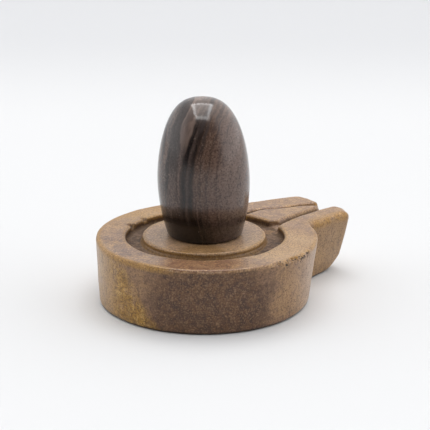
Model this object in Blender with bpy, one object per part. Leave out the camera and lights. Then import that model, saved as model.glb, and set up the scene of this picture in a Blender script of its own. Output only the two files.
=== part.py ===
"""A home-altar shiva lingam: a low carved stone base with a side spout, and the egg-shaped stone on its seat.

The frame: z = 0 is the base's underside, the origin lies under the centre of the moat, and +X runs along
the spout. Lengths are in metres, written as millimetres times mm.
"""

import math

import bmesh
import bpy
from mathutils import Vector

mm = 0.001

# The base, from its middle outwards: seat, moat, rim.
base_height = 24.0 * mm
seat_radius = 22.3 * mm
seat_rise = 0.2 * mm  # how far the seat's top stands above the rim
seat_edge_round = 0.7 * mm
seat_step_width = 0.45 * mm  # the low ledge round the seat's foot
seat_step_height = 1.1 * mm
seat_step_bevel = 0.33 * mm
moat_width = 6.2 * mm
moat_depth = 2.7 * mm
moat_corner = 0.7 * mm  # the hollow corner between the moat's floor and its outer wall
moat_edge_round = 0.4 * mm
moat_wall_lean = 0.27 * mm  # the moat's outer wall leans out by this much up to its rounded edge
rim_width = 11.7 * mm
rim_edge_round = 1.0 * mm
ring_taper = 2.0 * mm  # the ring is that much smaller in radius at its underside
ring_foot_round = 1.6 * mm
rim_shift_x = 0.85 * mm  # the ring's outside was carved a little off the moat's centre
rim_shift_y = -0.7 * mm

# The spout, which leaves the ring along +X and narrows to its end.
spout_projection = 18.2 * mm  # past the rim's radius, on the spout's own line
spout_tip_right = 13.7 * mm  # from the spout's line to its side, at the end
spout_tip_left = 14.6 * mm
spout_flare_right = 2.0  # degrees, how much each side widens towards the ring
spout_flare_left = 14.5
spout_end_skew = 12.7  # degrees, the end's right half runs out past square, from the notch on
spout_side_slope = 13.0  # degrees, the sides draw in downwards
spout_end_slope = 1.0
spout_corner_round = 3.6 * mm  # seen from above, at the top
spout_foot_corner_round = 7.5 * mm  # and at the underside
spout_end_foot_round = 5.5 * mm

# The two grooves beside the tongue, and the notch that they open into at the spout's end.
groove_depth = 2.3 * mm  # at the spout's end; at the moat they are as deep as the moat
groove_mouth_width = 3.4 * mm
right_groove_mouth_y = -7.1 * mm
right_groove_middle_y = -3.9 * mm
right_groove_middle_width = 3.2 * mm
right_groove_tip_y = -2.5 * mm
right_groove_tip_width = 3.0 * mm
left_groove_mouth_y = 10.5 * mm
left_groove_middle_y = 7.6 * mm
left_groove_middle_width = 2.2 * mm
left_groove_tip_y = 2.7 * mm
left_groove_tip_width = 1.5 * mm
notch_length = 3.8 * mm
notch_width = 7.2 * mm
notch_y = -0.8 * mm
notch_depth = 3.0 * mm
groove_wall_angle = 27.0  # degrees from upright
narrowest_floor = 0.12  # half a groove's floor is at least this share of its width

# The standing stone.
lingam_height = 50.4 * mm
lingam_radius = 16.6 * mm
lingam_belly_height = 19.7 * mm  # where it is widest, above its foot
lingam_foot_radius = 13.4 * mm
lingam_foot_round = 0.4 * mm
lingam_shift_x = 1.0 * mm
lingam_shift_y = 0.7 * mm
lingam_lean_x = -0.95  # degrees
lingam_lean_y = 0.78
resting_gap = 0.3 * mm  # kept between the seat and the stone that stands on it

# Shape of the stone's outline: how round its crown is, and how its lower part draws in.
crown_power = 1.848
crown_bluntness = 2.816
skirt_power = 1.9

widest_corner = 0.45  # a spout corner's radius is at most this share of the end's width

# Fineness of the meshes.
ring_segments = 84
corner_segments = 4
seat_segments = 72
moat_segments = 84
lingam_segments = 60
lingam_crown_rings = 15
lingam_skirt_rings = 7
edge_steps = 3  # flat steps round each rounded edge of the base
lingam_foot_steps = 2
end_foot_shares = (0.55, 1.0)  # outlines that draw the spout end's foot, as shares of its radius
sharp_from = 35.0  # degrees between two faces, from which their edge is shaded sharp

moat_radius = seat_radius + moat_width
rim_radius = moat_radius + rim_width
moat_floor = base_height - moat_depth
seat_top = base_height + seat_rise
spout_reach = rim_radius + spout_projection
cut_clearance = 2.0 * mm  # how far a cutter runs past the faces that it opens


def slope(degrees):
    return math.tan(math.radians(degrees))


def stone_material(name, colour, roughness):
    material = bpy.data.materials.new(name)
    material.use_nodes = True
    shader = material.node_tree.nodes["Principled BSDF"]
    shader.inputs["Base Color"].default_value = (*colour, 1.0)
    shader.inputs["Roughness"].default_value = roughness
    shader.inputs["Metallic"].default_value = 0.0
    return material


def mesh_object(name, bm, material):
    bmesh.ops.recalc_face_normals(bm, faces=bm.faces[:])
    mesh = bpy.data.meshes.new(name)
    bm.to_mesh(mesh)
    bm.free()
    mesh.materials.append(material)
    mesh.shade_smooth()
    mesh.set_sharp_from_angle(angle=math.radians(sharp_from))
    made = bpy.data.objects.new(name, mesh)
    bpy.context.collection.objects.link(made)
    return made


def loft(name, loops, material):
    """A closed solid through a stack of loops with equally many points, capped flat at both ends."""
    bm = bmesh.new()
    rings = [[bm.verts.new(point) for point in loop] for loop in loops]
    for lower, upper in zip(rings, rings[1:]):
        for i in range(len(lower)):
            j = (i + 1) % len(lower)
            bm.faces.new((lower[i], lower[j], upper[j], upper[i]))
    bm.faces.new(rings[0])
    bm.faces.new(rings[-1])
    return mesh_object(name, bm, material)


def turned(name, profile, segments, material):
    """A solid of revolution about Z from (radius, height) pairs; the end radii may not be zero."""
    loops = []
    for radius, height in profile:
        turn = [2 * math.pi * i / segments for i in range(segments)]
        loops.append([(radius * math.cos(a), radius * math.sin(a), height) for a in turn])
    return loft(name, loops, material)


def quarter(steps):
    """Sine and cosine pairs over a right angle."""
    turn = [math.pi / 2 * i / steps for i in range(steps + 1)]
    return [(math.sin(a), math.cos(a)) for a in turn]


def edge_inset(distance, radius):
    """How far a wall stands back at a distance from its upper or lower edge, rounded to a radius."""
    if distance >= radius:
        return 0.0
    return radius - math.sqrt(radius ** 2 - (radius - distance) ** 2)


def rounded_corner(before, corner, after, radius):
    """Points of the arc that rounds a corner between two straight sides."""
    back = (before - corner).normalized()
    on = (after - corner).normalized()
    half = math.acos(max(-1.0, min(1.0, back.dot(on)))) / 2
    centre = corner + (back + on).normalized() * radius / math.sin(half)
    start = corner + back * radius / math.tan(half) - centre
    end = corner + on * radius / math.tan(half) - centre
    sweep = start.angle_signed(end)
    points = []
    for i in range(corner_segments + 1):
        turned_by = -sweep * i / corner_segments
        cosine = math.cos(turned_by)
        sine = math.sin(turned_by)
        points.append(centre + Vector((start.x * cosine - start.y * sine, start.x * sine + start.y * cosine)))
    return points


def where_side_meets_ring(tip, direction, centre, radius):
    """The first point on a spout's side, coming from its tip, that lies on the ring's circle."""
    to_centre = centre - tip
    along = to_centre.dot(direction)
    square = radius ** 2 - to_centre.length_squared + along ** 2
    return tip + direction * (along - math.sqrt(square))


def base_outline(height):
    """The outer wall's plan at a height: the ring's circle, broken by the spout with its rounded end."""
    drop = base_height - height
    up = height / base_height
    arris = edge_inset(drop, rim_edge_round)
    centre = Vector((rim_shift_x, rim_shift_y)) * up
    radius = rim_radius - ring_taper * (1 - up) - arris - edge_inset(height, ring_foot_round)
    side_inset = drop * slope(spout_side_slope) + arris + edge_inset(height, ring_foot_round)
    right_half = spout_tip_right - side_inset
    left_half = spout_tip_left - side_inset
    near_foot = max(0.0, 1 - height / spout_end_foot_round)
    corner_round = spout_corner_round + (spout_foot_corner_round - spout_corner_round) * near_foot
    corner_round = min(corner_round, (right_half + left_half) * widest_corner)
    reach = spout_reach - drop * slope(spout_end_slope) - arris - edge_inset(height, spout_end_foot_round)
    end_middle = Vector((reach, notch_y))
    right_tip = Vector((reach + (right_half + notch_y) * slope(spout_end_skew), -right_half))
    left_tip = Vector((reach, left_half))
    right_side = Vector((-1.0, -slope(spout_flare_right))).normalized()
    left_side = Vector((-1.0, slope(spout_flare_left))).normalized()
    right_root = where_side_meets_ring(right_tip, right_side, centre, radius)
    left_root = where_side_meets_ring(left_tip, left_side, centre, radius)
    first = math.atan2(left_root.y - centre.y, left_root.x - centre.x)
    last = math.atan2(right_root.y - centre.y, right_root.x - centre.x) + 2 * math.pi
    points = []
    for i in range(ring_segments + 1):
        a = first + (last - first) * i / ring_segments
        points.append(centre + radius * Vector((math.cos(a), math.sin(a))))
    points += rounded_corner(right_root, right_tip, end_middle, corner_round)
    points.append(end_middle)
    points += rounded_corner(end_middle, left_tip, left_root, corner_round)
    return [(p.x, p.y, height) for p in points]


def base_heights():
    """Heights of the outer wall's outlines: close together where an edge is rounded."""
    foot = [ring_foot_round * (1 - cosine) for sine, cosine in quarter(edge_steps)]
    end_foot = [spout_end_foot_round * share for share in end_foot_shares]
    rim = [base_height - rim_edge_round * (1 - sine) for sine, cosine in quarter(edge_steps)]
    return sorted(set(foot + end_foot + rim))


def groove_cutter(name, stations):
    """A trough along X with sloping sides, through stations of (x, y, width at the rim, depth)."""
    spread = slope(groove_wall_angle)
    top = base_height + cut_clearance
    loops = []
    for x, y, width, depth in stations:
        above = width / 2 + cut_clearance * spread
        below = max(width / 2 - depth * spread, width * narrowest_floor)
        floor = base_height - depth
        loops.append([(x, y - above, top), (x, y - below, floor), (x, y + below, floor), (x, y + above, top)])
    return loft(name, loops, base_stone)


def combine(target, other, operation):
    """A boolean on the target; the other object is kept as a hidden guide."""
    step = target.modifiers.new(other.name, "BOOLEAN")
    step.operation = operation
    step.object = other
    step.solver = "EXACT"
    other.hide_render = True
    other.display_type = "WIRE"


def lingam_rings():
    """The standing stone's (radius, height above its foot), from its foot to just under its crown."""
    rings = []
    for sine, cosine in quarter(lingam_foot_steps):
        rings.append((lingam_foot_radius - lingam_foot_round * (1 - sine), lingam_foot_round * (1 - cosine)))
    skirt_height = lingam_belly_height - lingam_foot_round
    for i in range(1, lingam_skirt_rings + 1):
        below = 1 - i / lingam_skirt_rings
        height = lingam_belly_height - skirt_height * below
        rings.append((lingam_radius - (lingam_radius - lingam_foot_radius) * below ** skirt_power, height))
    for i in range(1, lingam_crown_rings):
        share = math.sin(math.pi / 2 * i / lingam_crown_rings)
        height = lingam_belly_height + (lingam_height - lingam_belly_height) * share
        rings.append((lingam_radius * (1 - share ** crown_power) ** (1 / crown_bluntness), height))
    return rings


for old in list(bpy.data.objects):
    bpy.data.objects.remove(old, do_unlink=True)

base_stone = stone_material("base_stone", (0.30, 0.19, 0.11), 0.45)
lingam_stone = stone_material("lingam_stone", (0.14, 0.09, 0.075), 0.22)

# The base: the ring and its spout in one piece, hollowed by the moat, with the seat left standing in it.
yoni_base = loft("yoni_base", [base_outline(height) for height in base_heights()], base_stone)

moat_mouth = base_height + cut_clearance
moat_cutter = turned(
    "moat_cutter",
    [
        (moat_radius - moat_corner - moat_edge_round, moat_floor),
        (moat_radius - moat_edge_round, moat_floor + moat_corner),
        (moat_radius - moat_edge_round + moat_wall_lean, base_height - moat_edge_round),
        (moat_radius + moat_edge_round, base_height),
        (moat_radius + moat_edge_round, moat_mouth),
    ],
    moat_segments,
    base_stone,
)
combine(yoni_base, moat_cutter, "DIFFERENCE")

# The grooves run from inside the moat to the notch, which opens through the spout's end.
groove_start = moat_radius - moat_width / 2
notch_start = spout_reach - notch_length
groove_middle = (moat_radius + notch_start) / 2
spout_end = spout_reach + cut_clearance
right_groove = groove_cutter(
    "right_groove",
    [
        (groove_start, right_groove_mouth_y, groove_mouth_width, moat_depth),
        (groove_middle, right_groove_middle_y, right_groove_middle_width, groove_depth),
        (notch_start, right_groove_tip_y, right_groove_tip_width, groove_depth),
        (spout_end, right_groove_tip_y, right_groove_tip_width, groove_depth),
    ],
)
left_groove = groove_cutter(
    "left_groove",
    [
        (groove_start, left_groove_mouth_y, groove_mouth_width, moat_depth),
        (groove_middle, left_groove_middle_y, left_groove_middle_width, groove_depth),
        (notch_start, left_groove_tip_y, left_groove_tip_width, groove_depth),
        (spout_end, notch_y, left_groove_tip_width, groove_depth),
    ],
)
notch = groove_cutter(
    "notch",
    [
        (notch_start, notch_y, notch_width, notch_depth),
        (spout_end, notch_y, notch_width, notch_depth),
    ],
)
for cutter in (right_groove, left_groove, notch):
    combine(yoni_base, cutter, "DIFFERENCE")

seat_edge = [
    (seat_radius - seat_edge_round * (1 - cosine), seat_top - seat_edge_round * (1 - sine))
    for sine, cosine in quarter(edge_steps)
]
seat = turned(
    "seat",
    [
        (seat_radius + seat_step_width, moat_floor - cut_clearance),
        (seat_radius + seat_step_width, moat_floor + seat_step_height - seat_step_bevel),
        (seat_radius, moat_floor + seat_step_height),
        *seat_edge,
    ],
    seat_segments,
    base_stone,
)
combine(yoni_base, seat, "UNION")

# The standing stone leans a little, while its foot is cut flat and rests level on the seat.
lingam_foot = seat_top + resting_gap
lingam_loops = []
for radius, height in lingam_rings():
    centre_x = lingam_shift_x + height * slope(lingam_lean_x)
    centre_y = lingam_shift_y + height * slope(lingam_lean_y)
    turn = [2 * math.pi * i / lingam_segments for i in range(lingam_segments)]
    lingam_loops.append(
        [(centre_x + radius * math.cos(a), centre_y + radius * math.sin(a), lingam_foot + height) for a in turn]
    )
lingam = loft("lingam", lingam_loops, lingam_stone)
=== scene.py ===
import math

import bpy
from mathutils import Matrix, Vector


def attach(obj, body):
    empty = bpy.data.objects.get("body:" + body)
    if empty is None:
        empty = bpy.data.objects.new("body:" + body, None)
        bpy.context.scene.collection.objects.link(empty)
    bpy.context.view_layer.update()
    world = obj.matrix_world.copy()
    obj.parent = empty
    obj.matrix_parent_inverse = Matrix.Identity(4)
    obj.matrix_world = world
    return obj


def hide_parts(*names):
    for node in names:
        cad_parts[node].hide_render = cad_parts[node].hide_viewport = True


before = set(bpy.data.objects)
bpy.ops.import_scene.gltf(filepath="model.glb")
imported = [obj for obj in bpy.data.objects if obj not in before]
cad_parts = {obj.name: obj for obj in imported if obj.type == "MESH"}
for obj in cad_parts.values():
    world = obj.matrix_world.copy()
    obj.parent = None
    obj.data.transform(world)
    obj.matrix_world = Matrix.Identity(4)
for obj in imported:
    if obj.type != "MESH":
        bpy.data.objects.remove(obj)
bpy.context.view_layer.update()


# The camera stands about 60 cm off and a little above the object, with the spout pointing away to the
# right. It has a long lens, so the ring and the spout hardly taper.
lens_mm = 142.33
sensor_width_mm = 36.0
camera_place = Vector((-0.368797, -0.453644, 0.220394))
camera_right = Vector((0.772208, -0.635363, 0.002855))
camera_up = Vector((0.193293, 0.239199, 0.951537))

camera_data = bpy.data.cameras.new("camera")
camera_data.sensor_width = sensor_width_mm
camera_data.lens = lens_mm
camera = bpy.data.objects.new("camera", camera_data)
bpy.context.scene.collection.objects.link(camera)
camera_axes = Matrix((camera_right, camera_up, camera_right.cross(camera_up))).transposed()
camera.matrix_world = Matrix.Translation(camera_place) @ camera_axes.to_4x4()
bpy.context.scene.camera = camera


# The base: a low round basin with a spout at its side, sawn and carved by hand from one block of
# brown stone, then ground and waxed; its hollows are painted darker as shade. The round seat in the
# middle is left standing in the moat, and two grooves run along the spout to the notch in its end.
# Sizes and places are in millimetres, and leans in degrees. +X runs along the spout.
base_sizes = {
    "Base Height": 24.0,
    "Rim Radius": 40.2,
    "Ring Taper": 2.0,
    "Moat Radius": 28.5,
    "Moat Depth": 2.7,
    "Seat Radius": 22.3,
    "Seat Rise": 0.2,
    "Spout Reach": 58.4,
    "Spout Right Half": 14.2,
    "Spout Left Half": 14.6,
    "Notch Depth": 3.0,
}
front_rise = 0.45
rim_shift = (0.85, -0.7)

end_lean = 1.0
left_side_lean = 13.0
right_side_lean = 9.0
right_lean_from = 44.0
right_lean_growth = 0.0095
left_side_flare = 14.5
right_side_flare = 1.5
right_tip_extra = 2.9
# How far each side and the end stand away from square, from which level widths get their true length.
right_side_angle = 12.0
left_side_angle = 17.0
end_angle = 14.07
# The end's outward bulge at places across the spout, largest on the right half of the end.
end_bulge_places = [
    (-15.0, 1.3), (-12.8, 2.6), (-10.5, 3.1), (-8.7, 3.1), (-6.8, 3.0), (-5.0, 2.7), (-3.8, 1.8),
    (-2.6, 0.6), (0.0, 0.1), (3.0, 0.5), (5.5, 0.8), (9.0, 1.1), (13.0, 0.7), (15.0, 0.0),
]

# Both grooves run from the moat to the notch. Each list gives a value at places along the spout.
groove_start = 25.4
groove_wall_lean = 27.0
groove_depth_places = [(25.4, 2.7), (54.6, 2.3)]
right_groove_middle = [
    (25.4, -7.4), (28.5, -6.9), (31.0, -6.3), (36.6, -4.8), (42.6, -3.8), (54.0, -2.8),
]
right_groove_width = [(25.4, 5.4), (28.5, 4.4), (31.0, 3.6), (36.6, 3.4), (54.0, 2.8)]
left_groove_middle = [
    (25.4, 10.0), (34.0, 10.5), (37.5, 9.7), (42.0, 7.4), (46.0, 6.0), (50.0, 5.2), (53.4, 3.6),
    (58.0, 1.0),
]
left_groove_width = [(25.4, 3.4), (34.0, 1.8), (46.0, 1.5), (50.0, 1.9), (54.0, 3.4), (58.0, 4.5)]
notch_start = 53.0
notch_middle = [(53.6, -2.7), (58.5, 0.3), (62.0, 1.2)]
notch_width = [(53.6, 0.8), (58.5, 5.4), (62.0, 8.0)]

# Radii of the rounded edges and of the fillets between the forms, with the small widths, drops and
# heights that go with them. The top edges' radii grow by the share named worn, where the stone has been
# handled, and are largest along the spout's near side.
spout_corner_round = 2.0
spout_corner_round_at_foot = 5.0
spout_foot_height = 5.5
spout_fillet = 1.2
underside_round = 1.5
underside_round_at_end = 3.9
top_round = 0.5
top_round_worn = 0.8
top_round_spout_side = 1.3
top_round_tip = 1.6
moat_floor_round = 0.5
moat_mouth_round = 0.25
moat_mouth_round_worn = 0.7
groove_floor_round = 0.5
groove_end_round = 0.4
right_groove_mouth_round = 0.45
left_groove_mouth_round = 0.4
notch_mouth_round = 0.7
tongue_corner_round = 0.25
seat_round = 0.4
seat_fillet = 0.5
step_width = 0.45
step_drop = 1.8
step_round = 0.3
nick_mouth_round = 0.2
nick_roughness = 1.5
moat_extra = 0.7
seat_lowest = 8.0

# The struck corner of the tongue: a steep face by its direction and place, and a rising floor.
corner_direction = (-0.517, -0.838, 0.176)
corner_place = -8.7
corner_floor_from = (28.0, 21.4)
corner_floor_rise = 0.12
corner_nearest_side = -7.0
corner_nearest_end = 25.0

# The ground surface waves a little, and a stretch of the right-hand arris has crumbled.
wave_size = 14.0
wave_height = 0.5
crumb_size = 1.9
crumbled_middle = (8.0, -39.0, 24.0)

# Nicks in the rim's inner edge and chips along its outer arris: the middle and radius of each.
base_nicks = [
    ((-13.4, 25.6, 24.0), 1.7),
    ((-5.4, 28.6, 24.2), 1.4),
    ((0.3, -40.8, 23.8), 0.7),
    ((6.5, -40.4, 23.8), 0.9),
    ((8.0, -40.1, 23.8), 0.6),
    ((9.2, -39.9, 23.8), 0.8),
    ((11.6, -39.3, 23.8), 1.0),
    ((15.6, -38.0, 23.8), 0.6),
    ((17.3, -37.3, 23.8), 0.7),
    ((-28.2, -29.9, 24.4), 0.7),
]

# The block of space that the stone is grown in, its grid step, and how deep the wear and the hollows
# are looked for under and over the surface.
block_low = (-43.0, -43.0, -1.2)
block_high = (65.0, 43.0, 26.0)
grid_step = 0.48
field_limit = 3.0
wear_probe = 1.6
hollow_probe = 2.2
mm_per_metre = 1000.0


class Socket:
    """One socket of a node tree. Sums on it add Math nodes, and node() adds any other node."""

    def __init__(self, tree, plug=None):
        self.tree = tree
        self.plug = plug

    def node(self, kind, settings=None, sockets=None, output=0):
        """Adds a node, with its settings and its sockets' links or values, and returns one output."""
        made = self.tree.nodes.new(kind)
        for name, value in (settings or {}).items():
            if name == "stops":
                ramp = made.color_ramp.elements
                while len(ramp) < len(value):
                    ramp.new(0.5)
                for stop, (position, tone) in zip(ramp, value):
                    stop.position = position
                    stop.color = (*tone, 1.0)
            elif name == "curve":
                points = made.mapping.curves[0].points
                while len(points) < len(value):
                    points.new(0.5, 0.5)
                for point, location in zip(points, value):
                    point.location = location
                    point.handle_type = "VECTOR"
                made.mapping.update()
            else:
                setattr(made, name, value)
        for name, value in (sockets or {}).items():
            entry = next(socket for socket in made.inputs if socket.identifier == name)
            if isinstance(value, Socket):
                self.tree.links.new(value.plug, entry)
            else:
                entry.default_value = value
        return Socket(self.tree, made.outputs[output] if made.outputs else None)

    def maths(self, operation, *terms):
        values = dict(zip(("Value", "Value_001"), terms))
        return self.node("ShaderNodeMath", {"operation": operation}, values)

    def __add__(self, other):
        return self.maths("ADD", self, other)

    def __radd__(self, other):
        return self.maths("ADD", other, self)

    def __sub__(self, other):
        return self.maths("SUBTRACT", self, other)

    def __rsub__(self, other):
        return self.maths("SUBTRACT", other, self)

    def __mul__(self, other):
        return self.maths("MULTIPLY", self, other)

    def __rmul__(self, other):
        return self.maths("MULTIPLY", other, self)

    def __truediv__(self, other):
        return self.maths("DIVIDE", self, other)

    def __neg__(self):
        return self.maths("MULTIPLY", self, -1.0)

    def __pow__(self, other):
        return self.maths("POWER", self, other)

    def __abs__(self):
        return self.maths("ABSOLUTE", self)

    def least(self, other):
        return self.maths("MINIMUM", self, other)

    def most(self, other):
        return self.maths("MAXIMUM", self, other)

    def share(self):
        """The number kept from 0 to 1."""
        return self.most(0.0).least(1.0)

    def between(self, low, high):
        """0 below low, 1 above high and a smooth rise between them; low may be the larger."""
        settings = {"interpolation_type": "SMOOTHSTEP", "clamp": True}
        values = {"Value": self, "From Min": low, "From Max": high, "To Min": 0.0, "To Max": 1.0}
        return self.node("ShaderNodeMapRange", settings, values)

    def across(self):
        """The three numbers of a vector."""
        parts = self.node("ShaderNodeSeparateXYZ", None, {"Vector": self})
        outputs = parts.plug.node.outputs
        return [Socket(self.tree, outputs[axis]) for axis in ("X", "Y", "Z")]

    def vector_maths(self, operation, sockets, output=0):
        values = {"Vector": self, **sockets}
        return self.node("ShaderNodeVectorMath", {"operation": operation}, values, output)

    def scaled(self, amount):
        return self.vector_maths("SCALE", {"Scale": amount})

    def stretched(self, factors):
        return self.vector_maths("MULTIPLY", {"Vector_001": factors})

    def along(self, direction):
        return self.vector_maths("DOT_PRODUCT", {"Vector_001": direction}, 1)

    def distance_to(self, place):
        return self.vector_maths("DISTANCE", {"Vector_001": place}, 1)

    def noise(self, size, detail=2.0, roughness=0.5):
        """Noise from 0 to 1 whose lumps are about size across, in the units of this vector."""
        values = {"Vector": self, "Scale": 1.0 / size, "Detail": detail, "Roughness": roughness}
        return self.node("ShaderNodeTexNoise", None, values)


def length_of(a, b):
    squares = a * a + b * b
    return squares.maths("SQRT", squares)


def inside_both(a, b, radius):
    """Distance to what two shapes share, with their crossing edge rounded."""
    overshoot_a = (a + radius).most(0.0)
    overshoot_b = (b + radius).most(0.0)
    return length_of(overshoot_a, overshoot_b) + a.most(b).least(-radius)


def inside_either(a, b, radius):
    """Distance to two shapes joined, with the corner between them filled to a radius."""
    return -inside_both(-a, -b, radius)


def cut_from(solid, tool, radius):
    """Distance to a solid after a tool is cut from it, with the cut's mouth rounded."""
    return inside_both(solid, -tool, radius)


def slope(degrees):
    return math.tan(math.radians(degrees))


def true_width(degrees):
    """What turns a width measured level into one measured square to a face at this angle."""
    return math.cos(math.radians(degrees))


def line_through(x, places):
    """Straight pieces through (x, value) pairs, in order of x, level beyond both ends."""
    first, last = places[0][0], places[-1][0]
    low = min(value for _, value in places)
    high = max(value for _, value in places)
    curve = [((at - first) / (last - first), (value - low) / (high - low)) for at, value in places]
    share = ((x - first) / (last - first)).share()
    return x.node("ShaderNodeFloatCurve", {"curve": curve}, {"Value": share}) * (high - low) + low


def trough(place, sizes, middle_places, width_places, depth, start):
    """Distance to a V-shaped groove along X with a narrow floor."""
    x, y, z = place.across()
    drop = sizes["Base Height"] - z
    half = line_through(x, width_places) * 0.5 - drop * slope(groove_wall_lean)
    wall = (abs(y - line_through(x, middle_places)) - half) * true_width(groove_wall_lean)
    groove = inside_both(wall, drop - depth, groove_floor_round)
    return inside_both(groove, start - x, groove_end_round)


def base_distance(place, sizes):
    """Distance in millimetres to the carved stone's surface, negative inside it."""
    x, y, z = place.across()
    toward_front = place.along((-0.636, -0.772, 0.0))
    top = sizes["Base Height"] + toward_front.between(14.0, 36.0) * front_rise
    up = (z / top).share()
    drop = top - z
    side_drop = drop.most(0.0)

    # The ring leans outward toward its rim, whose middle is a little off the foot's.
    ring_radius = sizes["Rim Radius"] - sizes["Ring Taper"] * (1.0 - up)
    ring = length_of(x - up * rim_shift[0], y - up * rim_shift[1]) - ring_radius

    # The spout's sides lean and flare differently, and its end bulges and is rounded at the foot.
    reach = sizes["Spout Reach"] - side_drop * slope(end_lean)
    right_slope = (x - right_lean_from).most(0.0) * right_lean_growth + slope(right_side_lean)
    right_half = sizes["Spout Right Half"] - side_drop * right_slope
    left_half = sizes["Spout Left Half"] - side_drop * slope(left_side_lean)
    right_flare = (reach + right_tip_extra - x) * slope(right_side_flare)
    right_side = (-y - right_half - right_flare) * true_width(right_side_angle)
    left_flare = (reach - x) * slope(left_side_flare)
    left_side = (y - left_half - left_flare) * true_width(left_side_angle)
    end = (x - reach - line_through(y, end_bulge_places)) * true_width(end_angle)
    sides = right_side.most(left_side)
    near_foot = 1.0 - (z / spout_foot_height).share()
    corner_round = near_foot * spout_corner_round_at_foot + spout_corner_round
    spout = inside_both(sides, end, corner_round).most(-x)
    plan = inside_either(ring, spout, spout_fillet)

    # The foot's edge is rounded, most at the spout's end. The top edges are worn unevenly.
    end_only = (end - sides).between(-8.0, 2.0) * x.between(44.0, 50.0)
    body = inside_both(plan, -z, end_only * underside_round_at_end + underside_round)
    worn = place.noise(7.0, 2.0)
    spout_side = y.between(-6.0, -11.0) * x.between(34.0, 44.0) * (x.between(60.0, 55.0) * 0.5 + 0.5)
    tip = y.between(-8.0, -12.0) * x.between(54.0, 58.0)
    edge_round = worn * top_round_worn + top_round
    edge_round = edge_round + spout_side * top_round_spout_side + tip * top_round_tip
    body = inside_both(body, -drop, edge_round)

    # The moat is a little wider toward the picture's right.
    from_middle = length_of(x, y)
    moat_wide = place.along((0.86, -0.51, 0.0)).between(22.0, 28.0) * moat_extra
    moat_side = from_middle - sizes["Moat Radius"] - moat_wide
    pocket = inside_both(moat_side, drop - sizes["Moat Depth"], moat_floor_round)
    body = cut_from(body, pocket, worn * moat_mouth_round_worn + moat_mouth_round)

    depth = line_through(x, groove_depth_places)
    right_groove = trough(place, sizes, right_groove_middle, right_groove_width, depth, groove_start)
    body = cut_from(body, right_groove, right_groove_mouth_round)
    left_groove = trough(place, sizes, left_groove_middle, left_groove_width, depth, groove_start)
    body = cut_from(body, left_groove, left_groove_mouth_round)
    notch = trough(place, sizes, notch_middle, notch_width, sizes["Notch Depth"], notch_start)
    body = cut_from(body, notch, notch_mouth_round)

    # The tongue's corner beside the near groove is struck off steeply, down to a rising floor.
    corner_face = corner_place - place.along(corner_direction)
    corner_floor = (x - corner_floor_from[0]) * corner_floor_rise + corner_floor_from[1] - z
    corner = corner_face.most(corner_floor).most(corner_nearest_side - y).most(corner_nearest_end - x)
    body = cut_from(body, corner, tongue_corner_round)

    # The seat has a narrow step round it, and both are kept to the upper part of the stone.
    above_seat = -drop - sizes["Seat Rise"]
    seat_side = from_middle - sizes["Seat Radius"]
    seat = inside_both(seat_side, above_seat, worn * seat_round + seat_round)
    step = inside_both(seat_side - step_width, above_seat + step_drop, step_round)
    seat_and_step = inside_either(seat, step, step_round).most(seat_lowest - z)
    body = inside_either(body, seat_and_step, seat_fillet)

    # The nicks, a crumbled stretch of the arris at the right, and the unevenness of hand grinding.
    first_place, first_radius = base_nicks[0]
    nicks = place.distance_to(first_place) - first_radius
    for nick_place, nick_radius in base_nicks[1:]:
        nicks = nicks.least(place.distance_to(nick_place) - nick_radius)
    body = cut_from(body, nicks + (worn - 0.5) * nick_roughness, nick_mouth_round)
    crumbled = place.noise(crumb_size, 1.0).between(0.5, 0.75) * ring.least(-drop).between(-1.8, -0.5)
    crumbled = crumbled * place.distance_to(crumbled_middle).between(16.0, 6.0)
    waves = place.noise(wave_size, 1.0) - 0.5
    return body + waves * wave_height + crumbled


def sized_tree(name, sizes):
    """A new geometry tree with one named input for each size."""
    tree = bpy.data.node_groups.new(name, "GeometryNodeTree")
    tree.interface.new_socket("Geometry", in_out="INPUT", socket_type="NodeSocketGeometry")
    tree.interface.new_socket("Geometry", in_out="OUTPUT", socket_type="NodeSocketGeometry")
    for label in sizes:
        tree.interface.new_socket(label, in_out="INPUT", socket_type="NodeSocketFloat")
    entry = tree.nodes.new("NodeGroupInput")
    return tree, {label: Socket(tree, entry.outputs[label]) for label in sizes}


def plain_piece(name, tree, sizes, material, shape):
    """Ends the tree, grows it on an empty object and returns its result as a plain mesh object."""
    shape = shape.node("GeometryNodeSetShadeSmooth", None, {"Geometry": shape, "Shade Smooth": True})
    shape = shape.node("GeometryNodeRealizeInstances", None, {"Geometry": shape})
    shape = shape.node("GeometryNodeSetMaterial", None, {"Geometry": shape, "Material": material})
    leave = tree.nodes.new("NodeGroupOutput")
    tree.links.new(shape.plug, leave.inputs["Geometry"])
    seed = bpy.data.objects.new(name + "_seed", bpy.data.meshes.new(name + "_seed"))
    bpy.context.scene.collection.objects.link(seed)
    grown = seed.modifiers.new("grown", "NODES")
    grown.node_group = tree
    for entry in tree.interface.items_tree:
        if entry.in_out == "INPUT" and entry.name in sizes:
            grown[entry.identifier] = sizes[entry.name]
    evaluated = seed.evaluated_get(bpy.context.evaluated_depsgraph_get())
    mesh = bpy.data.meshes.new_from_object(evaluated)
    mesh.name = name
    seed.modifiers.remove(grown)
    bpy.data.objects.remove(seed)
    piece = bpy.data.objects.new(name, mesh)
    bpy.context.scene.collection.objects.link(piece)
    return piece


def new_material(name):
    """An empty material, a starting socket in its tree and the place on the object in millimetres."""
    material = bpy.data.materials.new(name)
    material.use_nodes = True
    material.node_tree.nodes.clear()
    start = Socket(material.node_tree)
    return material, start, start.node("ShaderNodeTexCoord", None, None, 3).scaled(mm_per_metre)


def mixed(factor, first, second):
    """Two colours mixed by a factor."""
    values = {"Factor_Float": factor}
    for name, value in (("A_Color", first), ("B_Color", second)):
        values[name] = value if isinstance(value, Socket) else (*value, 1.0)
    return factor.node("ShaderNodeMix", {"data_type": "RGBA", "clamp_factor": True}, values, 2)


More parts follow.
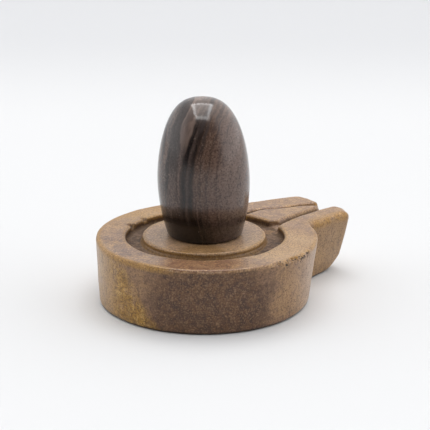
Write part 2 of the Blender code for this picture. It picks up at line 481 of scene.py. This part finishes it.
def coated(colour, coats):
    """A colour under coats, each given as how much of it shows and its own colour."""
    for share, tone in coats:
        colour = mixed(share, colour, tone)
    return colour


def finish_material(start, colour, roughness, height, bump_strength, constants):
    """The stone's shader, its bump from a height in millimetres, and the output."""
    bump_sockets = {"Strength": bump_strength, "Distance": 1.0, "Height": height / mm_per_metre}
    bump = start.node("ShaderNodeBump", None, bump_sockets)
    values = {"Base Color": colour, "Roughness": roughness, "Normal": bump}
    values.update(constants)
    shader = start.node("ShaderNodeBsdfPrincipled", None, values)
    start.node("ShaderNodeOutputMaterial", None, {"Surface": shader})


base_stone, start, place = new_material("base_stone_waxed")
x, y, z = place.across()
worn = start.node("ShaderNodeAttribute", {"attribute_name": "worn"}, None, 2)
# The hollow attribute holds painted shade for the stone's recesses.
hollow = start.node("ShaderNodeAttribute", {"attribute_name": "hollow"}, None, 2)
from_middle = length_of(x, y)
to_right = place.along((0.772, -0.635, 0.0))
top_face = z.between(22.8, 23.7)
wall = 1.0 - top_face
clouds = place.noise(14.0, 3.0, 0.55)
mottle = place.noise(4.5, 4.0, 0.62)
blots = place.noise(2.0, 3.0, 0.6)
grain = place.noise(0.6, 3.0, 0.65)
dots = place.noise(1.3, 2.0, 0.6)
streaks = place.stretched((1.0, 1.0, 0.15)).noise(1.4, 3.0, 0.6)
wander = (place.noise(6.0, 3.0, 0.6) - 0.5) * 9.0

tan = (0.44, 0.26, 0.125)
pale_tan = (0.60, 0.37, 0.175)
rosy_grey = (0.28, 0.165, 0.105)
ochre = (0.42, 0.220, 0.048)
red_brown = (0.18, 0.080, 0.045)
dark_brown = (0.135, 0.062, 0.029)
near_black = (0.05, 0.03, 0.02)

# The whole block is clouded tan and rosy grey, with paler blots on the top.
colour = coated(mixed(clouds.between(0.36, 0.64), rosy_grey, tan), [
    (mottle.between(0.44, 0.66) * 0.6, (0.23, 0.135, 0.090)),
    (blots.between(0.5, 0.7) * top_face * 0.6, pale_tan),
    (blots.between(0.48, 0.32) * 0.5, (0.17, 0.098, 0.064)),
    (wall * x.between(40.0, 30.0) * 0.2, (0.19, 0.105, 0.050)),
    (wall * x.between(36.0, 44.0) * 0.65, (0.40, 0.245, 0.110)),
])

# The wall turns dark in front, with an ochre vein leaning down its left side.
front = (place.distance_to((-24.0, -33.0, 9.0)) + wander).between(28.0, 15.0) * wall
left_ochre = y.between(-8.0, 6.0) * y.between(26.0, 12.0) * x.between(-20.0, -27.0) * wall
vein_edge = z * 0.7 - 16.5
vein_wander = 0.8 * wander
vein = (y + vein_wander).between(8.0, -2.0) * (y - vein_edge + vein_wander).between(-4.0, 3.0)
vein = vein * x.between(-26.0, -30.0) * wall
# The wall's two sides, seen edge-on, are painted paler, as light and sheen falling on them from the
# sides.
right_side_painted_light = to_right.between(29.0, 40.0) * x.between(38.0, 34.0) * wall
left_side_painted_light = to_right.between(-27.0, -38.0) * wall
colour = coated(colour, [
    (front * 0.88, dark_brown),
    (front * mottle.between(0.42, 0.58) * 0.7, (0.080, 0.044, 0.031)),
    (front * blots.between(0.52, 0.64) * 0.6, (0.25, 0.140, 0.075)),
    (front * blots.between(0.45, 0.33) * 0.7, (0.050, 0.030, 0.024)),
    (left_ochre * mottle.between(0.35, 0.55) * 0.7, (0.46, 0.28, 0.10)),
    (left_ochre * blots.between(0.45, 0.35) * 0.5, (0.24, 0.125, 0.045)),
    (vein * mottle.between(0.3, 0.55) * 0.9, (0.40, 0.21, 0.036)),
    (vein * blots.between(0.5, 0.62) * 0.7, (0.62, 0.39, 0.12)),
    (vein * blots.between(0.46, 0.36) * 0.6, (0.20, 0.105, 0.030)),
    (vein * grain.between(0.50, 0.60) * 0.5, (0.16, 0.080, 0.020)),
    (front * grain.between(0.48, 0.38) * 0.5, (0.28, 0.160, 0.090)),
    (front * grain.between(0.53, 0.62) * 0.5, (0.035, 0.020, 0.016)),
    (right_side_painted_light * 0.6, (0.54, 0.38, 0.26)),
    (left_side_painted_light * 0.45, (0.52, 0.35, 0.21)),
    (streaks.between(0.5, 0.72) * wall * 0.45, (0.11, 0.062, 0.036)),
])

# The rim is greyest at the left, reddest in front, palest at the right and ochre at the back.
rim_grey = (place.distance_to((-30.0, 4.0, 24.0)) + wander).between(24.0, 12.0) * top_face
rim_red = (place.distance_to((-23.0, -26.0, 24.0)) + wander * 1.4).between(16.0, 9.0) * top_face
rim_pale = (place.distance_to((14.0, -30.0, 24.0)) + wander).between(22.0, 10.0) * top_face
rim_ochre = (place.distance_to((-4.0, 34.0, 24.0)) + wander).between(18.0, 8.0) * top_face
seat_top = top_face * from_middle.between(21.5, 20.5)
seat_front = place.distance_to((-13.0, -15.0, 24.0)) + wander * 0.5
seat_ochre = seat_front.between(11.0, 6.0) * top_face
shoulder = y.between(-9.0, -11.5) * x.between(34.0, 42.0) * z.between(20.0, 22.5)
colour = coated(colour, [
    (rim_grey * mottle.between(0.40, 0.56) * 0.6, (0.19, 0.125, 0.105)),
    (rim_red * (0.45 + blots.between(0.62, 0.42) * 0.5), red_brown),
    (rim_pale * (0.35 + blots * 0.5), (0.50, 0.31, 0.145)),
    (rim_ochre * (0.3 + mottle.between(0.4, 0.55) * 0.5), (0.42, 0.235, 0.07)),
    (seat_top * 0.4, (0.48, 0.315, 0.200)),
    (seat_ochre * mottle.between(0.25, 0.5) * 0.8, (0.27, 0.145, 0.052)),
    (shoulder * mottle.between(0.3, 0.6) * 0.8, ochre),
])

# Painted shade lies dark on the moat's floor and browner on its wall, and is kept lighter on a chute
# under the near groove. The worn edges are ochre, but a painted highlight runs as a pale line along the
# arris in front, and painted shade fills the hollows.
in_moat = from_middle.between(30.2, 29.4) * from_middle.between(22.6, 23.2) * z.between(19.0, 20.0)
moat_floor_shade = z.between(23.6, 22.8) * in_moat
chute = y.between(-1.8, -3.0) * y.between(-10.4, -9.4) * x.between(22.5, 25.0)
moat_wall_shade = (from_middle + mottle * 1.5).between(27.2, 29.0) * (1.0 - chute)
moat_wall_shade = z.between(23.9, 23.2) * in_moat * moat_wall_shade
seat_wall = from_middle.between(23.2, 22.9) * from_middle.between(20.5, 21.3)
seat_wall = z.between(23.9, 23.3) * seat_wall
rim_radius = length_of(x - rim_shift[0], y - rim_shift[1])
rim_edge = (rim_radius + mottle * 1.6).between(38.6, 40.2) * z.between(21.6, 22.8)
rim_edge = rim_edge * (x * 0.8 - y * 0.6).between(-9.0, -18.0)
front_arris = (place.distance_to((-18.0, -35.0, 24.0)) + wander).between(28.0, 14.0)
# A painted highlight: a pale line along the worn front arris.
painted_highlight_line = worn.between(0.55, 1.0) * front_arris * blots.between(0.3, 0.5)
colour = coated(colour, [
    (moat_floor_shade * (0.85 - chute * 0.6), (0.075, 0.042, 0.025)),
    (moat_floor_shade * blots.between(0.48, 0.58) * 0.9, (0.22, 0.135, 0.085)),
    (moat_floor_shade * mottle.between(0.46, 0.38) * 0.6, (0.040, 0.022, 0.014)),
    (moat_wall_shade * 0.8, (0.080, 0.038, 0.012)),
    (seat_wall * 0.7, (0.25, 0.135, 0.042)),
    (rim_edge * 0.8, (0.38, 0.205, 0.055)),
    (worn * (0.85 - front_arris * 0.7) * mottle.between(0.2, 0.5), ochre),
    (painted_highlight_line * 0.85, (0.68, 0.50, 0.35)),
    (hollow * 0.85, (0.10, 0.050, 0.015)),
])

# Dark specks gather at the right, with pits along the crumbled arris, and a painted contact shadow
# runs in a line along the foot.
# Then come a few pale specks and the stone's fine grain.
specks_and_foot_shadow = dots.between(0.62, 0.72) * 0.7 + blots.between(0.58, 0.70) * grain.between(0.4, 0.6) * 0.8
speckled = (place.distance_to((12.0, -38.0, 14.0)) + wander).between(36.0, 20.0) * 0.7 + 0.2
pitted = place.distance_to((9.0, -39.5, 22.8)).between(12.0, 6.0) * rim_radius.between(38.6, 39.5)
pits = dots.between(0.53, 0.60) * pitted * z.between(21.0, 22.0)
painted_foot_shadow = z.between(1.3, 0.2) * 0.9
specks_and_foot_shadow = (specks_and_foot_shadow * speckled + painted_foot_shadow + pits).least(1.0)
colour = coated(colour, [
    (specks_and_foot_shadow, near_black),
    (place.noise(0.8, 1.0).between(0.80, 0.83) * 0.6, (0.6, 0.5, 0.42)),
    (grain.between(0.49, 0.63) * 0.6, (0.10, 0.060, 0.038)),
    (grain.between(0.46, 0.32) * (top_face * 0.5 + 0.15), (0.66, 0.42, 0.20)),
])
roughness = mottle * 0.16 + 0.26 + specks_and_foot_shadow * 0.2 + hollow * 0.2 + moat_floor_shade * 0.45
height = mottle * 0.10 + blots * 0.05 + grain * 0.05 - specks_and_foot_shadow * 0.07
finish_material(start, colour, roughness, height, 0.8, {"IOR": 1.38, "Metallic": 0.0})

base_tree, base_inputs = sized_tree("carved_base", base_sizes)
start = Socket(base_tree)
spot = start.node("GeometryNodeInputPosition")
stone_field = base_distance(spot.scaled(mm_per_metre), base_inputs)
grid_cells = [round((high - low) / grid_step) + 1 for low, high in zip(block_low, block_high)]
block_sockets = {
    "Density": (-stone_field).most(-field_limit).least(field_limit),
    "Background": -field_limit,
    "Min": tuple(value / mm_per_metre for value in block_low),
    "Max": tuple(value / mm_per_metre for value in block_high),
    "Resolution X": grid_cells[0],
    "Resolution Y": grid_cells[1],
    "Resolution Z": grid_cells[2],
}
block = start.node("GeometryNodeVolumeCube", None, block_sockets)
skin_sockets = {"Volume": block, "Threshold": 0.0, "Adaptivity": 0.0}
shape = start.node("GeometryNodeVolumeToMesh", {"resolution_mode": "GRID"}, skin_sockets)

# An edge is worn where the stone just under it is thin. Painted shade for the hollows is stored where
# more stone is near.
normal = start.node("GeometryNodeInputNormal")
under = normal.scaled(-wear_probe / mm_per_metre).vector_maths("ADD", {"Vector_001": spot})
over = normal.scaled(hollow_probe / mm_per_metre).vector_maths("ADD", {"Vector_001": spot})
wear = (base_distance(under.scaled(mm_per_metre), base_inputs) + wear_probe).between(0.15, 0.85)
hollow_shade_amount = (hollow_probe - base_distance(over.scaled(mm_per_metre), base_inputs)).between(0.8, 2.0)
for label, value in (("worn", wear), ("hollow", hollow_shade_amount)):
    settings = {"data_type": "FLOAT", "domain": "POINT"}
    stored = {"Geometry": shape, "Name": label, "Value": value}
    shape = start.node("GeometryNodeStoreNamedAttribute", settings, stored)
base = plain_piece("base", base_tree, base_sizes, base_stone, shape)
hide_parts("yoni_base")
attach(base, "root")


# The standing stone: an egg of banded, hard stone, ground and polished to a gloss, with a flat foot.
# It is only set down on the seat, and it leans by about a degree.
lingam_sizes = {
    "Height": 50.4,
    "Belly Radius": 16.6,
    "Belly Height": 19.7,
    "Foot Radius": 13.4,
    "Foot Level": 24.25,
}
lingam_lean = (slope(-0.95), slope(0.78))
lingam_place = (1.0, 0.7)
foot_curve = 1.9
foot_round = 0.9
crown_curves = (1.848, 2.816)
ball_sockets = {"Segments": 288, "Rings": 200, "Radius": 1.0}
foot_turn = 0.12
belly_turn = 0.42

# The stone is laid down in sheets that stand on edge and curve to the left near the crown. Each
# number is a place across the sheets, with the colour of the sheet there.
sheet_tones = [
    (-17.0, (0.125, 0.090, 0.075)), (-13.4, (0.090, 0.070, 0.062)), (-12.4, (0.070, 0.056, 0.050)),
    (-11.3, (0.030, 0.022, 0.020)), (-9.7, (0.052, 0.037, 0.031)), (-8.6, (0.024, 0.016, 0.014)),
    (-7.4, (0.115, 0.070, 0.054)), (-6.7, (0.075, 0.046, 0.036)), (-5.9, (0.006, 0.003, 0.002)),
    (-4.9, (0.004, 0.002, 0.002)), (-4.2, (0.060, 0.042, 0.036)), (-3.6, (0.045, 0.030, 0.025)),
    (-3.1, (0.009, 0.005, 0.004)), (-2.3, (0.018, 0.010, 0.007)), (-1.3, (0.100, 0.057, 0.039)),
    (2.2, (0.125, 0.073, 0.051)), (2.7, (0.080, 0.047, 0.034)), (3.3, (0.130, 0.077, 0.055)),
    (5.6, (0.145, 0.087, 0.065)), (6.1, (0.090, 0.055, 0.042)), (6.8, (0.150, 0.093, 0.071)),
    (12.0, (0.165, 0.110, 0.088)), (17.0, (0.150, 0.102, 0.082)),
]
sheet_reach = 17.0

lingam_stone, start, place = new_material("lingam_stone_polished")
z = place.across()[2]
to_right = place.along((0.772, -0.635, 0.003))
to_back = place.along((0.605, 0.734, 0.0))
above_belly = z - 45.0
slow_warp = (place.noise(9.0, 2.0) - 0.5) * 2.0
quick_warp = (place.stretched((1.0, 1.0, 0.2)).noise(2.0, 3.0) - 0.5) * 1.4
layer = to_right - above_belly * above_belly * 0.007 - above_belly * 0.03
layer = layer - to_back * 0.136 + (slow_warp + quick_warp)
layer = layer + z.between(57.0, 66.0) * layer.between(-6.5, -9.5) * 1.9
stops = [((value + sheet_reach) / (2 * sheet_reach), tone) for value, tone in sheet_tones]
sheet_share = (layer + sheet_reach) / (2 * sheet_reach)
colour = start.node("ShaderNodeValToRGB", {"stops": stops}, {"Fac": sheet_share})

# Within the sheets: paler patches, fine dark lines, brown spots and light and dark stripes. The dark
# bands and the upper part of the left band stay calmer, and the left band fades below the belly.
sheet = start.node("ShaderNodeCombineXYZ", None, {"X": layer, "Y": to_back * 0.15, "Z": z * 0.05})
grains = place.noise(0.6, 3.0, 0.7)
patches = place.stretched((1.0, 1.0, 0.4)).noise(3.6, 3.0, 0.6)
stripes = sheet.noise(1.7, 4.0, 0.65)
low_left = layer.between(-13.0, -11.6) * layer.between(-7.4, -8.6) * z.between(55.0, 46.0)
dark_bands = layer.between(-7.6, -6.2) * layer.between(-1.2, -2.4)
left_band = layer.between(-12.3, -11.3) * layer.between(-7.7, -8.8) * z.between(46.0, 55.0)
fine_lines = layer.between(1.5, -2.5) * 0.75 + 0.15
brown_spots = place.stretched((1.0, 1.0, 0.6)).noise(2.4, 2.0).between(0.6, 0.7)
striped = layer.between(3.0, -4.0) * 0.75 + 0.25
striped = striped * (1.0 - dark_bands * 0.8 - left_band * 0.7) * 0.8
pale_grain = 0.55 - dark_bands * 0.4 - left_band * 0.3
colour = coated(colour, [
    (low_left * 0.8, (0.105, 0.072, 0.060)),
    (patches.between(0.46, 0.62) * (0.45 - (dark_bands + left_band) * 0.35), (0.120, 0.075, 0.058)),
    (sheet.noise(0.8, 3.0, 0.7).between(0.5, 0.68) * fine_lines, (0.022, 0.017, 0.016)),
    (brown_spots * layer.between(-2.0, 1.0) * 0.5, (0.035, 0.018, 0.012)),
    (stripes.between(0.46, 0.36) * striped, (0.185, 0.125, 0.100)),
    (stripes.between(0.52, 0.60) * striped, (0.024, 0.019, 0.018)),
    (grains.between(0.49, 0.62) * 0.65, (0.030, 0.018, 0.014)),
    (grains.between(0.46, 0.32) * pale_grain, (0.24, 0.17, 0.135)),
])

# The upper left is a shade darker. Painted shade darkens the skirt toward the foot, most at the left,
# with streaks running into it.
upper_left = z.between(52.0, 62.0) * to_right.between(-3.0, -8.0)
foot_shade_left = (to_right + z * 0.2).between(12.0, 0.0)
foot_streaks = sheet.noise(1.1, 3.0, 0.6).between(0.47, 0.56)
foot_streaks = foot_streaks * to_right.between(4.0, -3.0) * z.between(40.0, 33.0)
colour = coated(colour, [
    (upper_left * 0.3, (0.030, 0.024, 0.022)),
    (z.between(39.0, 31.0) * (foot_shade_left * 0.3 + 0.55), (0.010, 0.006, 0.004)),
    (foot_streaks * 0.8, (0.004, 0.002, 0.002)),
    (place.noise(1.0, 1.0).between(0.78, 0.81) * 0.5, (0.40, 0.34, 0.30)),
])

# The crown is paler between the two dark bands, and higher up it is painted paler toward the right
# as a painted sheen of the overhead light. Thin dark streaks cross it.
pale_gap = z.between(56.0, 65.0) * layer.between(-8.7, -7.9) * layer.between(-5.6, -6.6)
crown_painted_sheen = z.between(66.0, 74.0) * (to_right + patches * 6.0).between(-4.0, 3.0)
left_streak = z.between(62.0, 68.0) * layer.between(-4.6, -3.8) * layer.between(-2.2, -3.0)
right_streak = z.between(63.0, 67.0) * layer.between(0.2, 0.9) * layer.between(2.2, 1.5)
crown_lines = stripes.between(0.50, 0.57) * z.between(60.0, 67.0)
colour = coated(colour, [
    (pale_gap * 0.7, (0.235, 0.165, 0.135)),
    (crown_painted_sheen * 0.55, (0.27, 0.190, 0.150)),
    (left_streak * 0.7, (0.040, 0.028, 0.026)),
    (right_streak * 0.6, (0.055, 0.038, 0.033)),
    (crown_lines * 0.5, (0.060, 0.045, 0.042)),
    (crown_painted_sheen * grains.between(0.50, 0.60) * 0.5, (0.075, 0.050, 0.042)),
])
roughness = grains * 0.06 + 0.15
height = grains * 0.02 + place.noise(2.4, 2.0) * 0.10
finish_material(start, colour, roughness, height, 0.4, {"IOR": 1.5, "Metallic": 0.0})

# A ball is reshaped into the egg. Its turn from the bottom pole, 0 to 1, becomes the flat foot, then
# the skirt up to the belly, then the crown.
lingam_tree, lingam_inputs = sized_tree("polished_egg", lingam_sizes)
start = Socket(lingam_tree)
ball = start.node("GeometryNodeMeshUVSphere", None, ball_sockets)
spot = start.node("GeometryNodeInputPosition")
ball_x, ball_y, ball_z = spot.across()
turn_up = start.maths("ARCCOSINE", (-ball_z).most(-1.0).least(1.0)) / math.pi
flat = (turn_up / foot_turn).share()
skirt = ((turn_up - foot_turn) / (belly_turn - foot_turn)).share()
crown = start.maths("SINE", ((turn_up - belly_turn) / (1.0 - belly_turn)).share() * (math.pi / 2))
crown_height = lingam_inputs["Height"] - lingam_inputs["Belly Height"]
height_up = skirt * lingam_inputs["Belly Height"] + crown * crown_height
foot_loss = (lingam_inputs["Belly Radius"] - lingam_inputs["Foot Radius"]) * (1.0 - skirt) ** foot_curve
round_loss = (foot_round - height_up).most(0.0) ** 2.0 * 0.6
crown_share = (1.0 - crown ** crown_curves[0]).most(0.0) ** (1.0 / crown_curves[1])
width = (lingam_inputs["Belly Radius"] - foot_loss - round_loss) * crown_share * flat
swell = (spot.noise(0.9, 1.0) - 0.5) * 0.5 * crown_share * skirt
girth = length_of(ball_x, ball_y).most(0.000001)
egg_sockets = {
    "X": ball_x / girth * (width + swell) + height_up * lingam_lean[0] + lingam_place[0],
    "Y": ball_y / girth * (width + swell) + height_up * lingam_lean[1] + lingam_place[1],
    "Z": height_up + lingam_inputs["Foot Level"],
}
egg = start.node("ShaderNodeCombineXYZ", None, egg_sockets).scaled(1.0 / mm_per_metre)
shape = start.node("GeometryNodeSetPosition", None, {"Geometry": ball, "Position": egg})
standing_stone = plain_piece("standing_stone", lingam_tree, lingam_sizes, lingam_stone, shape)
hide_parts("lingam")
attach(standing_stone, "root")


# The sheet: a wide white sheet that the object stands on. It is painted a little greyer toward the
# back, as shade where the light falls off.
floor_half = 4.0
floor_corners = [(-1, -1), (1, -1), (1, 1), (-1, 1)]
floor_points = [(a * floor_half, b * floor_half, 0.0) for a, b in floor_corners]
ahead = Vector((0.6361, 0.7716, 0.0))
side = Vector((0.7716, -0.6361, 0.0))

floor_mesh = bpy.data.meshes.new("floor")
floor_mesh.from_pydata(floor_points, [], [(0, 1, 2, 3)])
floor = bpy.data.objects.new("floor", floor_mesh)
bpy.context.scene.collection.objects.link(floor)
floor_white, start, place = new_material("floor_white")
far_floor_shade = place.along(tuple(ahead)).between(240.0, 470.0)
floor_tone = mixed(far_floor_shade, (0.778, 0.778, 0.778), (0.690, 0.692, 0.700))
floor_sockets = {"Base Color": floor_tone, "Roughness": 0.9, "Specular IOR Level": 0.0}
shader = start.node("ShaderNodeBsdfPrincipled", None, floor_sockets)
start.node("ShaderNodeOutputMaterial", None, {"Surface": shader})
floor_mesh.materials.append(floor_white)


# The lights: a large soft panel hangs level overhead. Its four brighter borders are strips that light
# only the gloss, so the crown of the egg shows a frame. The room is white, and dark on the camera's side.
# Sizes are in metres. A glow of 1 is as bright as lit white paper.
panel_middle = Vector((0.0, 0.0, 1.7))
panel_width = 1.32
panel_depth = 2.2
panel_glow = 2.0
strip_glow = 8.0
strip_middle = panel_middle - Vector((0.0, 0.0, 0.02))
strips = [
    ("strip_far", ahead * 1.02, 1.32, 0.18),
    ("strip_near", ahead * -1.02, 1.32, 0.18),
    ("strip_left", side * -0.58, 0.16, 2.2),
    ("strip_right", side * 0.58, 0.16, 2.2),
]


def overhead_light(name, middle, width, depth, glow):
    """A level rectangular light of even brightness, which the camera doesn't see."""
    light = bpy.data.lights.new(name, "AREA")
    light.shape = "RECTANGLE"
    light.size = width
    light.size_y = depth
    light.energy = glow * math.pi * width * depth
    panel = bpy.data.objects.new(name, light)
    bpy.context.scene.collection.objects.link(panel)
    panel.location = middle
    panel.rotation_euler = (0.0, 0.0, math.atan2(side.y, side.x))
    panel.visible_camera = False
    return panel


overhead_light("panel_overhead", panel_middle, panel_width, panel_depth, panel_glow)
for name, offset, width, depth in strips:
    strip = overhead_light(name, strip_middle + offset, width, depth, strip_glow)
    strip.visible_diffuse = False

room = bpy.data.worlds.new("room")
room.use_nodes = True
room.node_tree.nodes.clear()
start = Socket(room.node_tree)
direction = start.node("ShaderNodeTexCoord")
forward = direction.along(tuple(ahead))
sideways = direction.along(tuple(side))
at_sides = sideways * sideways
lit = (forward + at_sides * 0.8 + sideways.least(0.0) * 0.22).between(-0.45, 0.2)
strength = lit * (at_sides * 0.55 + sideways.most(0.0) * 0.35 + 0.85) + 0.05
room_sockets = {"Color": (0.97, 0.98, 1.0, 1.0), "Strength": strength}
room_light = start.node("ShaderNodeBackground", None, room_sockets)
start.node("ShaderNodeOutputWorld", None, {"Surface": room_light})
bpy.context.scene.world = room
bpy.context.scene.view_settings.view_transform = "Standard"
